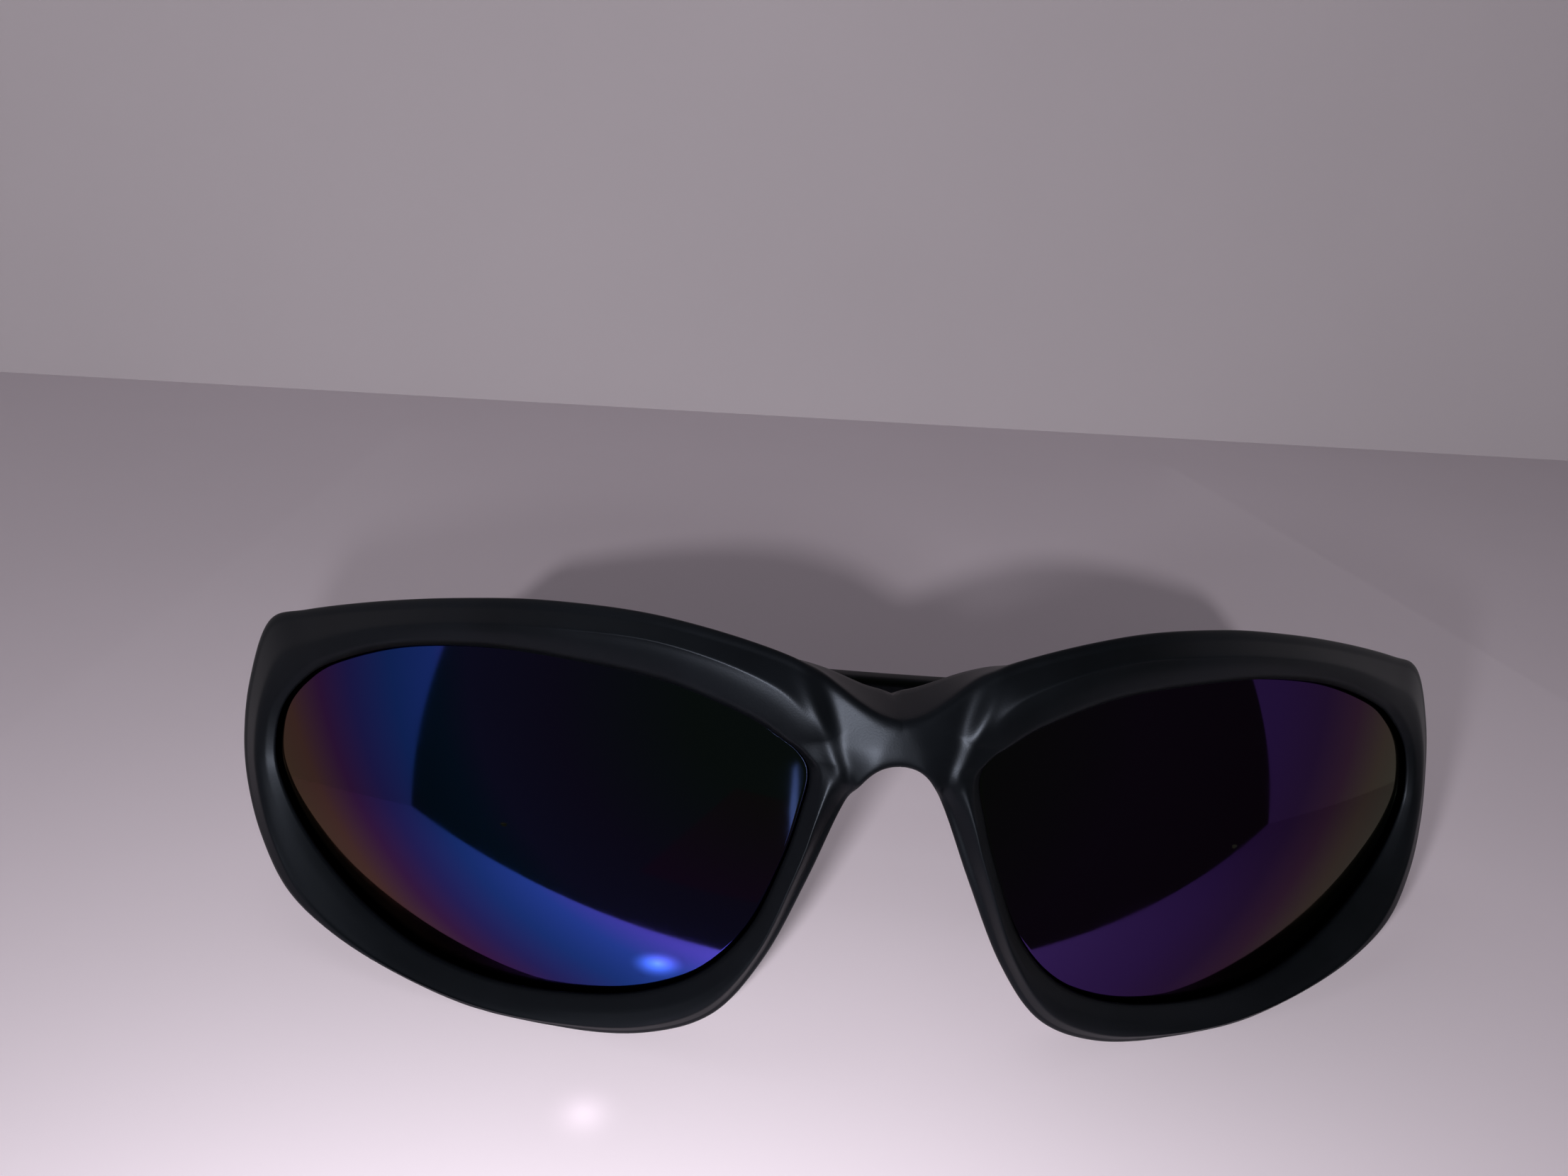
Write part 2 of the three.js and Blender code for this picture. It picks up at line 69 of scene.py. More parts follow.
# The lens surface's depth: its wrap against x, its dish and its lean against z.
WRAP_LINEAR = 0.038
WRAP = 0.0048
DISH = 0.0073
LEAN = 0.2345

LENS_THICKNESS = 2.0
LENS_TUCK = 1.1                     # how far the lens reaches into its groove
LENS_PLAY = 0.05
LENS_EDGE_ROUND = 0.15
LENS_CENTRE = (40.0, -2.0)
LENS_SIDES = 160
LENS_RINGS = 26
LENS_HEART = 0.3                    # the innermost ring's size, against the step between rings
GROOVE_DEPTH = 1.5
GROOVE_GAP = 0.35
OUTER_WALL = 1.0                    # the least material outside the groove
BACK_LIP = 1.0

# How far the rim's outer wall draws in towards the back, against its depth.
LEAST_DRAFT = 0.06
TOP_DRAFT = 0.46                    # more where the wall faces up
TOP_DRAFT_FROM = (2, 14)            # between these distances from the symmetry plane
MOST_DRAFT = 3.8                    # in millimetres

HINGE = (66.6, 37.6, -3.5)
KNUCKLE_R = 2.2
PIN_R = 0.9
CLEARANCE = 0.3
LEAF_NEAR = 1.2
LEAF_THICK = 1.0
LEAF_HALF = 4.2
LEAF_LENGTH = 7.0
LEAF_START = 2.6                    # from the pivot to where the plate is full height
LEAF_FACE = LEAF_NEAR + LEAF_THICK + CLEARANCE
WEB_START = 0.4                     # the web that joins a knuckle to its plate
WEB_END = 3.4
WEB_SINK = 0.6
WEB_SHORT = 0.02
WEB_EASE = 0.05
RIVET_Y = 5.0
RIVET_Z = 2.4
RIVET_HEAD_R = 1.25
RIVET_SHANK_R = 0.72
RIVET_LENGTH = 3.4
KNUCKLE_HALF = 5.0
MIDDLE_HALF = 1.7
SCREW_HEAD_R = 1.8
SCREW_HEAD_TALL = 0.9
SLOT_HALF_LENGTH = 2.4
SLOT_HALF_WIDTH = 0.25
SLOT_FLOOR = 0.5                    # above the underside of the head
SLOT_TOP = 1.6
TURN = {"right": math.radians(83), "left": math.radians(-97)}
SIGN = {"right": 1, "left": -1}

# Stations round one rim: opening x, z; outer outline x, z; heights in front of the lens surface at
# the opening, the crest and the outer edge; where the crest lies; depth behind the lens surface.
RIM = [
    (12.0, 11.4, 0.0, 14.8, 2.4, 3.0, 2.6, 0.33, 4.6),
    (16.0, 13.2, 10.7, 19.6, 3.0, 4.8, 3.3, 0.62, 4.2),
    (24.0, 15.2, 23.5, 22.3, 3.2, 5.8, 4.6, 0.70, 3.6),
    (34.0, 15.7, 35.5, 22.0, 3.0, 5.4, 3.9, 0.66, 3.5),
    (43.5, 15.2, 46.2, 20.1, 2.6, 4.2, 2.6, 0.62, 3.5),
    (53.0, 13.2, 56.4, 17.3, 2.2, 3.0, 1.1, 0.58, 3.5),
    (61.0, 9.7, 65.8, 14.1, 1.8, 2.4, 0.4, 0.50, 3.8),
    (65.0, 6.6, 70.9, 11.6, 1.6, 2.2, 0.4, 0.50, 4.4),
    (67.7, 2.8, 73.2, 4.8, 1.5, 2.1, 0.5, 0.50, 4.4),
    (68.5, -1.8, 73.9, -1.9, 1.5, 2.2, 0.7, 0.50, 4.2),
    (67.6, -5.2, 72.8, -6.9, 1.7, 2.8, 1.9, 0.52, 3.8),
    (65.0, -9.2, 70.1, -11.6, 2.0, 3.9, 3.6, 0.58, 3.5),
    (61.0, -13.0, 66.0, -16.0, 2.3, 4.8, 4.9, 0.64, 3.5),
    (55.5, -16.7, 60.0, -18.9, 2.5, 5.0, 5.1, 0.68, 3.5),
    (49.0, -19.3, 51.8, -21.2, 2.5, 4.6, 4.6, 0.68, 3.5),
    (41.0, -20.0, 42.2, -22.8, 2.4, 3.9, 3.8, 0.66, 3.5),
    (32.5, -18.9, 32.8, -22.8, 2.3, 3.3, 2.8, 0.62, 3.5),
    (25.0, -16.8, 24.2, -21.3, 2.3, 3.2, 2.4, 0.58, 3.6),
    (18.8, -13.2, 17.2, -17.6, 2.4, 3.2, 2.1, 0.54, 4.2),
    (14.2, -7.6, 12.3, -11.0, 2.4, 3.0, 1.2, 0.48, 5.0),
    (11.2, -0.3, 8.3, -2.3, 2.2, 2.6, 0.6, 0.44, 5.6),
    (9.6, 5.0, 5.2, 5.2, 2.0, 2.5, 0.6, 0.40, 5.8),
    (9.0, 8.0, 2.7, 9.4, 2.0, 2.5, 1.4, 0.36, 5.6),
    (9.8, 10.0, 0.0, 10.4, 2.2, 2.6, 2.2, 0.34, 5.2),
]
LENS_X, LENS_Z, EDGE_X, EDGE_Z, LIP, CREST, EDGE, CREST_AT, BACK = range(9)
STATIONS = len(RIM)
STEPS = 10
SEAM_BLEND = 8.0                    # how near the symmetry plane the walls begin to stand square to it
SEAM_SOFTENING = 0.8                # over what width the lens surface's fold at the plane is eased
EDGE_ROUND = 0.8
EDGE_ROUND_STEPS = (0.6, 0.3, 0.1, 0.0)
BACK_CHAMFER = 0.8
OUTLINE_LEAD = 2                    # stations that the outline runs past the plane at both ends
OUTLINE_REACH = 1.5                 # stations searched each way for the nearest point of the outline
FLARE = 1.3                         # width of the slope beside the opening
FLARE_SHARE = 0.35                  # its most, against the width of the section
FLARE_BULGE = (0.45, 0.55)          # a point part of the way up that slope
CREST_CLEAR = 0.3                   # the least distance from the slope to the crest
INNER_POINTS = 5
OUTER_POINTS = 12
GROOVE_CORNER = 0.4
LIP_ROUND = (0.35, 0.1)

# The front of the bridge: a ridge on each side, x against z from the arch up to the brow, and between
# the two ridges a face that falls back on both sides of a rounded keel.
RIDGE_LINE = [(5.0, 5.0), (5.3, 8.0), (6.6, 11.0), (7.6, 13.5), (8.7, 16.0), (9.7, 18.4)]
CREST_ROUNDING = 5                  # how often a section's heights are averaged with their neighbours
RIDGE_RISE = 0.28
RIDGE_HALF = 0.8
RIDGE_FROM = (5.5, 8.5)             # heights between which the ridges grow out of the nose flanks
KEEL_HEIGHT = 3.5
KEEL_ROUND = 0.05
KEEL_SPREAD = 0.3                   # the keel's flat share low down
KEEL_NARROWS = (10.5, 15.5)         # heights between which that share goes
VALLEY_HEIGHT = 2.5
VALLEY_AT = 0.66
VALLEY_START = 0.76
ARCH_TOP = 12
ARCH_FALL = 0.10                    # how steeply the face falls back below ARCH_TOP


def lens_surface(x, z):
    """How far back the front of the lenses lies at x and z."""
    aside = math.hypot(x, SEAM_SOFTENING) - SEAM_SOFTENING
    return WRAP_LINEAR * aside + WRAP * x * x + DISH * z * z + LEAN * z


def lerp(a, b, t):
    return a + (b - a) * t


def smoothstep(x, low, high):
    t = min(max((x - low) / (high - low), 0.0), 1.0)
    return t * t * (3 - 2 * t)


def rim_value(u, column, seam=False, flips=False):
    """One column of RIM at position u, smoothly between stations.

    With seam the curve is mirrored at the symmetry plane, and with flips its sign changes there;
    otherwise it runs on round the opening.
    """
    i = int(math.floor(u)) % STATIONS
    t = u - math.floor(u)
    if seam and i == STATIONS - 1:
        return lerp(RIM[i][column], RIM[0][column], t)

    def sample(k):
        if not seam:
            return RIM[k % STATIONS][column]
        sign = -1 if flips else 1
        if k < 0:
            return sign * RIM[-k][column]
        if k > STATIONS - 1:
            return sign * RIM[2 * (STATIONS - 1) - k][column]
        return RIM[k][column]

    a, b, c, d = (sample(i + k) for k in (-1, 0, 1, 2))
    square = 2 * a - 5 * b + 4 * c - d
    cube = 3 * b - a - 3 * c + d
    return 0.5 * (2 * b + (c - a) * t + square * t * t + cube * t ** 3)


def world(x, y, z):
    """A point of the lens frame, in the object's frame and in metres."""
    return Vector((x * MM, (y - ORIGIN_Y) * MM, (z - FLOOR_Z) * MM))


# ------------------------------------------------------------------ mesh helpers
def new_object(name, verts, faces, material, slot=None):
    mesh = bpy.data.meshes.new(name)
    mesh.from_pydata([tuple(v) for v in verts], [], faces)
    mesh.validate()
    bm = bmesh.new()
    bm.from_mesh(mesh)
    bmesh.ops.recalc_face_normals(bm, faces=bm.faces)
    bm.to_mesh(mesh)
    bm.free()
    for polygon in mesh.polygons:
        polygon.use_smooth = True
    obj = bpy.data.objects.new(name, mesh)
    bpy.context.scene.collection.objects.link(obj)
    obj.data.materials.append(material)
    return obj


def subdivide(obj, levels):
    modifier = obj.modifiers.new("subdivision", "SUBSURF")
    modifier.levels = levels
    modifier.render_levels = levels


def loft(rings, closed=False):
    """Vertices and faces of a tube through rings of points, with flat ends unless closed."""
    width = len(rings[0])
    verts = [p for ring in rings for p in ring]
    faces = []
    for i in range(len(rings) if closed else len(rings) - 1):
        row = i * width
        after = ((i + 1) % len(rings)) * width
        for j in range(width):
            k = (j + 1) % width
            faces.append((row + j, after + j, after + k, row + k))
    if not closed:
        faces.append(tuple(range(width)))
        end = (len(rings) - 1) * width
        faces.append(tuple(end + j for j in reversed(range(width))))
    return verts, faces


def circle(x, y, z, radius, steps):
    angles = [2 * math.pi * k / steps for k in range(steps)]
    return [Vector((x + radius * math.cos(a), y + radius * math.sin(a), z)) for a in angles]


def lathe(profile, steps=40):
    """Rings of (radius, height) turned about z."""
    return loft([circle(0, 0, height, radius, steps) for radius, height in profile])


def join(parts):
    """Several (vertices, faces) as one."""
    verts, faces = [], []
    for part_verts, part_faces in parts:
        first = len(verts)
        verts += part_verts
        faces += [tuple(first + i for i in face) for face in part_faces]
    return verts, faces


def moved(part, matrix):
    return [matrix @ Vector(v) for v in part[0]], part[1]


# ------------------------------------------------------------------ materials
def material(name):
    """A new material with its nodes, links, shader and object coordinates."""
    made = bpy.data.materials.new(name)
    made.use_nodes = True
    nodes = made.node_tree.nodes
    coords = nodes.new("ShaderNodeTexCoord").outputs["Object"]
    return made, nodes, made.node_tree.links, nodes["Principled BSDF"], coords


def noise(nodes, links, coords, scale, detail=3.0, roughness=0.5):
    node = nodes.new("ShaderNodeTexNoise")
    node.inputs["Scale"].default_value = scale
    node.inputs["Detail"].default_value = detail
    node.inputs["Roughness"].default_value = roughness
    links.new(coords, node.inputs["Vector"])
    return node.outputs["Fac"]


def spread(nodes, links, value, low, high, start=0.0, end=1.0):
    node = nodes.new("ShaderNodeMapRange")
    node.inputs["From Min"].default_value = start
    node.inputs["From Max"].default_value = end
    node.inputs["To Min"].default_value = low
    node.inputs["To Max"].default_value = high
    links.new(value, node.inputs["Value"])
    return node.outputs["Result"]


def bump(nodes, links, height, strength, distance):
    node = nodes.new("ShaderNodeBump")
    node.inputs["Strength"].default_value = strength
    node.inputs["Distance"].default_value = distance
    links.new(height, node.inputs["Height"])
    return node.outputs["Normal"]


def colours(nodes, links, value, stops):
    """A colour ramp over the value, with (position, colour) stops in rising order."""
    node = nodes.new("ShaderNodeValToRGB")
    elements = node.color_ramp.elements
    while len(elements) < len(stops):
        elements.new(0.5)
    for element, (at, colour) in zip(elements, stops):
        element.position = at
        element.color = (*colour, 1)
    links.new(value, node.inputs["Fac"])
    return node.outputs["Color"]


def frame_plastic():
    made, nodes, links, shader, coords = material("satin_black_plastic")
    cloud = noise(nodes, links, coords, 90, 4)
    blacks = colours(nodes, links, cloud, [
        (0.3, (0.0007, 0.0009, 0.0014)),
        (0.75, (0.0014, 0.0018, 0.0027)),
    ])
    links.new(blacks, shader.inputs["Base Color"])
    links.new(spread(nodes, links, cloud, 0.38, 0.48), shader.inputs["Roughness"])
    grain = noise(nodes, links, coords, 5200, 2)
    links.new(bump(nodes, links, grain, 0.18, 0.00004), shader.inputs["Normal"])
    shader.inputs["IOR"].default_value = 1.49
    shader.inputs["Specular IOR Level"].default_value = 0.14
    shader.inputs["Specular Tint"].default_value = (0.74, 0.84, 1.0, 1)
    return made


# Colours of the mirror coat, from seen square on (0) to seen along the surface (1). Both lenses
# have one coat; the left list is brighter and bluer and the right one darker, painting the different
# reflections that the two lenses show.
COAT_AND_REFLECTION_COLOURS = {
    "left": [
        (0.02, (0.036, 0.050, 0.110)),
        (0.10, (0.050, 0.036, 0.240)),
        (0.17, (0.050, 0.044, 0.340)),
        (0.205, (0.018, 0.050, 0.280)),
        (0.25, (0.012, 0.040, 0.200)),
        (0.30, (0.024, 0.022, 0.130)),
        (0.34, (0.052, 0.016, 0.076)),
        (0.385, (0.093, 0.046, 0.036)),
        (0.46, (0.090, 0.070, 0.034)),
    ],
    "right": [
        (0.02, (0.030, 0.034, 0.060)),
        (0.20, (0.040, 0.020, 0.110)),
        (0.37, (0.032, 0.013, 0.080)),
        (0.44, (0.030, 0.011, 0.056)),
        (0.50, (0.050, 0.020, 0.046)),
        (0.56, (0.074, 0.056, 0.040)),
        (0.62, (0.070, 0.074, 0.046)),
    ],
}
MIRROR_EDGE_TINT = (0.6, 0.6, 0.6, 1)


def lens_mirror(side):
    """A dark smoked lens with a mirror coat whose colour runs with the angle it is seen at; each side's
    colours also paint that lens's own reflections.
    """
    made, nodes, links, shader, coords = material(f"mirror_lens_{side}")
    facing = nodes.new("ShaderNodeLayerWeight")
    facing.inputs["Blend"].default_value = 0.5
    cloud = noise(nodes, links, coords, 28, 2)
    wander = spread(nodes, links, cloud, -0.012, 0.012)
    total = nodes.new("ShaderNodeMath")
    total.operation = "ADD"
    links.new(facing.outputs["Facing"], total.inputs[0])
    links.new(wander, total.inputs[1])
    coat = colours(nodes, links, total.outputs[0], COAT_AND_REFLECTION_COLOURS[side])
    links.new(coat, shader.inputs["Base Color"])
    smear = noise(nodes, links, coords, 60, 5, 0.65)
    links.new(spread(nodes, links, smear, 0.03, 0.10, 0.35, 0.8), shader.inputs["Roughness"])
    shader.inputs["Metallic"].default_value = 1.0
    shader.inputs["Specular Tint"].default_value = MIRROR_EDGE_TINT
    return made


def smoked_back():
    """The lens's inner face: the same dark plastic without the mirror coat."""
    made, nodes, links, shader, coords = material("smoked_lens_back")
    cloud = noise(nodes, links, coords, 40, 3)
    smoke = colours(nodes, links, cloud, [
        (0.0, (0.004, 0.004, 0.005)),
        (1.0, (0.008, 0.007, 0.008)),
    ])
    links.new(smoke, shader.inputs["Base Color"])
    links.new(spread(nodes, links, cloud, 0.06, 0.14), shader.inputs["Roughness"])
    shader.inputs["IOR"].default_value = 1.58
    return made


def soft_rubber():
    made, nodes, links, shader, coords = material("matte_black_rubber")
    cloud = noise(nodes, links, coords, 140, 4)
    blacks = colours(nodes, links, cloud, [
        (0.3, (0.0035, 0.0035, 0.004)),
        (0.8, (0.0075, 0.0075, 0.008)),
    ])
    links.new(blacks, shader.inputs["Base Color"])
    links.new(spread(nodes, links, cloud, 0.62, 0.82), shader.inputs["Roughness"])
    stipple = noise(nodes, links, coords, 2600, 2)
    links.new(bump(nodes, links, stipple, 0.5, 0.00012), shader.inputs["Normal"])
    return made


def hinge_steel():
    made, nodes, links, shader, coords = material("brushed_hinge_steel")
    stretch = nodes.new("ShaderNodeMapping")
    stretch.inputs["Scale"].default_value = (1, 1, 14)
    links.new(coords, stretch.inputs["Vector"])
    brush = noise(nodes, links, stretch.outputs["Vector"], 420, 4, 0.6)
    greys = colours(nodes, links, brush, [
        (0.0, (0.32, 0.32, 0.34)),
        (1.0, (0.58, 0.58, 0.60)),
    ])
    links.new(greys, shader.inputs["Base Color"])
    links.new(spread(nodes, links, brush, 0.24, 0.42), shader.inputs["Roughness"])
    links.new(bump(nodes, links, brush, 0.15, 0.00003), shader.inputs["Normal"])
    shader.inputs["Metallic"].default_value = 1.0
    return made


PLASTIC = frame_plastic()
RUBBER = soft_rubber()
STEEL = hinge_steel()
LENS = {side: lens_mirror(side) for side in COAT_AND_REFLECTION_COLOURS}
LENS_BACK = smoked_back()


# ------------------------------------------------------------------ front
def ridge_x(z):
    """Where the second ridge stands at height z."""
    if z <= RIDGE_LINE[0][1]:
        return RIDGE_LINE[0][0]
    for (x0, z0), (x1, z1) in zip(RIDGE_LINE, RIDGE_LINE[1:]):
        if z <= z1:
            return lerp(x0, x1, (z - z0) / (z1 - z0))
    return RIDGE_LINE[-1][0]


def face_height(x, z, height):
    """The height of the front face, with the bridge's ridge, valley and keel worked in."""
    edge = ridge_x(z)
    fade = smoothstep(z, *RIDGE_FROM)
    rise = RIDGE_RISE * fade * math.exp(-((x - edge) / RIDGE_HALF) ** 2)
    t = x / edge
    if t >= 1:
        return height + rise
    flat = KEEL_SPREAD * (1 - smoothstep(z, *KEEL_NARROWS))
    aside = max(t - flat, 0.0) / (1 - flat)
    rounded = math.sqrt(aside * aside + KEEL_ROUND) - math.sqrt(KEEL_ROUND)
    facet = lerp(KEEL_HEIGHT, VALLEY_HEIGHT, min(rounded / VALLEY_AT, 1.0))
    facet -= ARCH_FALL * max(ARCH_TOP - z, 0)
    share = fade * (1 - smoothstep(t, VALLEY_START, 1.0))
    return lerp(height, facet, share) + rise


def edge_point(u):
    """The rim's outer outline, carried past the symmetry plane at both ends."""
    last = STATIONS - 1
    inside = -u if u < 0 else min(u, 2 * last - u)
    x = max(rim_value(inside, EDGE_X, seam=True, flips=True), 0.0)
    return Vector((x if inside == u else -x, rim_value(inside, EDGE_Z, seam=True)))


OUTLINE_END = STATIONS - 1 + OUTLINE_LEAD
OUTLINE = [edge_point(k / STEPS) for k in range(-OUTLINE_LEAD * STEPS, OUTLINE_END * STEPS + 1)]


def edge_distance(x, z, u):
    """How far a point of the section at u is from the rim's outer outline."""
    here = Vector((x, z))
    centres = {u} if u <= STATIONS - 1 else {0.0, float(STATIONS - 1)}
    least = math.inf
    for centre in centres:
        first = max(round((centre - OUTLINE_REACH + OUTLINE_LEAD) * STEPS), 0)
        last = min(round((centre + OUTLINE_REACH + OUTLINE_LEAD) * STEPS), len(OUTLINE) - 1)
        for start, end in zip(OUTLINE[first:last], OUTLINE[first + 1:last + 1]):
            along_edge = end - start
            t = min(max((here - start).dot(along_edge) / along_edge.length_squared, 0.0), 1.0)
            least = min(least, (here - start - along_edge * t).length)
    return least


def rim_section(u):
    """The rim's section at u: over the face from the opening out, down the wall and along the back."""
    lens_x = rim_value(u, LENS_X)
    lens_z = rim_value(u, LENS_Z)
    edge_x = max(rim_value(u, EDGE_X, seam=True, flips=True), 0.0)
    edge_z = rim_value(u, EDGE_Z, seam=True)
    lip, crest, crest_at = (rim_value(u, c) for c in (LIP, CREST, CREST_AT))
    edge, back = (rim_value(u, c, seam=True) for c in (EDGE, BACK))
    if u > STATIONS - 1:
        edge_x = 0.0
        edge_z = lerp(RIM[-1][EDGE_Z], RIM[0][EDGE_Z], smoothstep(u, STATIONS - 1, STATIONS))
    run = math.hypot(edge_x - lens_x, edge_z - lens_z)
    outward = Vector(((edge_x - lens_x) / run, (edge_z - lens_z) / run))
    draft = LEAST_DRAFT + TOP_DRAFT * max(0.0, outward.y) * smoothstep(edge_x, *TOP_DRAFT_FROM)
    drop = min(draft * (edge + back), MOST_DRAFT) * smoothstep(edge_x, 0, SEAM_BLEND)
    chamfer = BACK_CHAMFER * smoothstep(edge_x, 0, SEAM_BLEND)
    flare = min(FLARE, run * FLARE_SHARE)
    groove = min(GROOVE_DEPTH, run - OUTER_WALL)

    def at(reach, height, face=False):
        """A point so far out from the opening and so far in front of the lens surface."""
        x = lens_x + outward.x * reach
        z = lens_z + outward.y * reach
        if face:
            height = face_height(x, z, height)
            inset = EDGE_ROUND - min(edge_distance(x, z, u), EDGE_ROUND)
            height -= EDGE_ROUND - math.sqrt(EDGE_ROUND ** 2 - inset ** 2)
        return world(x, lens_surface(x, z) - height, z)

    crest_reach = max(crest_at * run, flare + CREST_CLEAR)
    rising = [k / INNER_POINTS for k in range(INNER_POINTS)]
    falling = [k / OUTER_POINTS for k in range(OUTER_POINTS + 1)]
    reaches = [lerp(flare, crest_reach, t) for t in rising]
    reaches += [lerp(crest_reach, run - EDGE_ROUND, t) for t in falling]
    heights = [lerp(lip, crest, t) for t in rising] + [lerp(crest, edge, t) for t in falling]
    for _ in range(CREST_ROUNDING):
        inner = [(a + 2 * b + c) / 4 for a, b, c in zip(heights, heights[1:], heights[2:])]
        heights = [heights[0], *inner, heights[-1]]
    points = [at(0, GROOVE_GAP), at(flare * FLARE_BULGE[0], lip * FLARE_BULGE[1])]
    points += [at(reach, height, face=True) for reach, height in zip(reaches, heights)]
    points += [at(run - EDGE_ROUND * short, edge, face=True) for short in EDGE_ROUND_STEPS]
    points += [
        at(run - drop / 2, (edge - EDGE_ROUND - back + chamfer) / 2),
        at(run - drop, chamfer - back),
        at(run - drop - chamfer, -back),
        at(groove + GROOVE_CORNER, -back),
        at(LIP_ROUND[0], -back + LIP_ROUND[1]),
        at(0, -LENS_THICKNESS - GROOVE_GAP - BACK_LIP),
        at(0, -LENS_THICKNESS - GROOVE_GAP),
        at(groove, -LENS_THICKNESS - GROOVE_GAP),
        at(groove, GROOVE_GAP),
    ]
    for p in points:
        p.x = min(p.x, cad_high.x - BOX_SKIN * MM)
        p.z = max(p.z, BOX_SKIN * MM)
    return points


ON_PLANE = 1e-7                     # metres from the symmetry plane
MERGE_WITHIN = 2e-6


def front_shell():
    """Both rims as one skin: the right one's half, opened on the plane, and its mirror image."""
    rings = [rim_section(i / STEPS) for i in range(STATIONS * STEPS)]
    verts, faces = loft(rings, closed=True)
    mesh = bpy.data.meshes.new("front_shell")
    mesh.from_pydata([tuple(v) for v in verts], [], faces)
    bm = bmesh.new()
    bm.from_mesh(mesh)
    flat = [f for f in bm.faces if all(abs(v.co.x) < ON_PLANE for v in f.verts)]
    bmesh.ops.delete(bm, geom=flat, context="FACES")
    loose = [v for v in bm.verts if not v.link_faces]
    bmesh.ops.delete(bm, geom=loose, context="VERTS")
    copy = bmesh.ops.duplicate(bm, geom=bm.verts[:] + bm.edges[:] + bm.faces[:])
    other = [g for g in copy["geom"] if isinstance(g, bmesh.types.BMVert)]
    for v in other:
        v.co.x = -v.co.x
    bmesh.ops.remove_doubles(bm, verts=bm.verts[:], dist=MERGE_WITHIN)
    bmesh.ops.recalc_face_normals(bm, faces=bm.faces[:])
    bm.to_mesh(mesh)
    bm.free()
    for polygon in mesh.polygons:
        polygon.use_smooth = True
    obj = bpy.data.objects.new("front_shell", mesh)
    bpy.context.scene.collection.objects.link(obj)
    obj.data.materials.append(PLASTIC)
    subdivide(obj, 1)
    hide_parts("front_frame")
    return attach(obj, "front")


def rounded_slab(x0, x1, y, z0, z1, radius, steps=5):
    """A ring round a rectangle with rounded corners, standing at y."""
    corners = (
        (x1 - radius, z1 - radius, 0),
        (x0 + radius, z1 - radius, 1),
        (x0 + radius, z0 + radius, 2),
        (x1 - radius, z0 + radius, 3),
    )
    ring = []
    for cx, cz, quarter in corners:
        for k in range(steps + 1):
            angle = (quarter + k / steps) * math.pi / 2
            ring.append(Vector((cx + radius * math.cos(angle), y, cz + radius * math.sin(angle))))
    return ring


# An end piece's sections from front to back: x from and to, y, z from and to, corner radius.
END_SLABS = [
    (70.9, 72.4, 28.6, -6.0, 3.0, 0.6),
    (70.0, 73.2, 30.2, -8.0, 4.4, 1.1),
    (69.2, 73.7, 32.5, -9.4, 4.6, 1.2),
    (69.2, 73.8, 34.5, -9.7, 4.3, 1.2),
    (69.2, 73.8, 37.4, -10.0, 3.9, 1.2),
]
END_BACK = 38.0
END_CENTRE = (71.5, -3.0)
END_ROUND = (0.07, 0.05)            # how far the back's rim draws in towards the centre, in x and z
END_CLOSE = (0.7, 0.7)


def end_piece(side):
    rings = [rounded_slab(*slab) for slab in END_SLABS]
    for share_x, share_z in (END_ROUND, END_CLOSE):
        rings.append([
            Vector((lerp(p.x, END_CENTRE[0], share_x), END_BACK, lerp(p.z, END_CENTRE[1], share_z)))
            for p in rings[-1]
        ])
    rings = [[world(SIGN[side] * p.x, p.y, p.z) for p in ring] for ring in rings]
    obj = new_object(f"end_piece_{side}", *loft(rings), PLASTIC, "frame_plastic")
    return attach(obj, "front")


# ------------------------------------------------------------------ lenses and nose pads
def lens(side):
    """A curved plate from the centre out over the front, round the edge and back over the inner face."""
    outline = []
    for i in range(LENS_SIDES):
        u = i * STATIONS / LENS_SIDES
        x, z = rim_value(u, LENS_X), rim_value(u, LENS_Z)
        edge_x = rim_value(u, EDGE_X, seam=True, flips=True)
        edge_z = rim_value(u, EDGE_Z, seam=True)
        run = math.hypot(edge_x - x, edge_z - z)
        tuck = min(LENS_TUCK, run - OUTER_WALL - (GROOVE_DEPTH - LENS_TUCK)) - LENS_PLAY
        outline.append((x + (edge_x - x) * tuck / run, z + (edge_z - z) * tuck / run))

    def ring(share, depth):
        points = []
        for x, z in outline:
            px = lerp(LENS_CENTRE[0], x, share)
            pz = lerp(LENS_CENTRE[1], z, share)
            points.append(world(SIGN[side] * px, lens_surface(px, pz) + depth, pz))
        return points

    shares = [(k + LENS_HEART) / (LENS_RINGS + LENS_HEART) for k in range(LENS_RINGS + 1)]
    rings = [ring(s, 0.0) for s in shares]
    rings += [ring(1.0, depth) for depth in (LENS_EDGE_ROUND, LENS_THICKNESS - LENS_EDGE_ROUND)]
    rings += [ring(s, LENS_THICKNESS) for s in reversed(shares)]
    obj = new_object(f"mirror_lens_{side}", *loft(rings), LENS[side], "lens_plastic")
    obj.data.materials.append(LENS_BACK)
    first_behind = len(shares) * LENS_SIDES
    for polygon in obj.data.polygons:
        if polygon.index >= first_behind:
            polygon.material_index = 1
    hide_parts(f"lens_{side}")
    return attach(obj, "front")


PAD_STATIONS = (19.0, 21.3)         # where along the rim a nose pad begins and ends
PAD_STEPS = 14
PAD_WIDTH = 3.0
PAD_DEPTH = 2.6
PAD_LEAN = 0.9
PAD_BLUNT = 0.04                    # how blunt a pad's two ends are


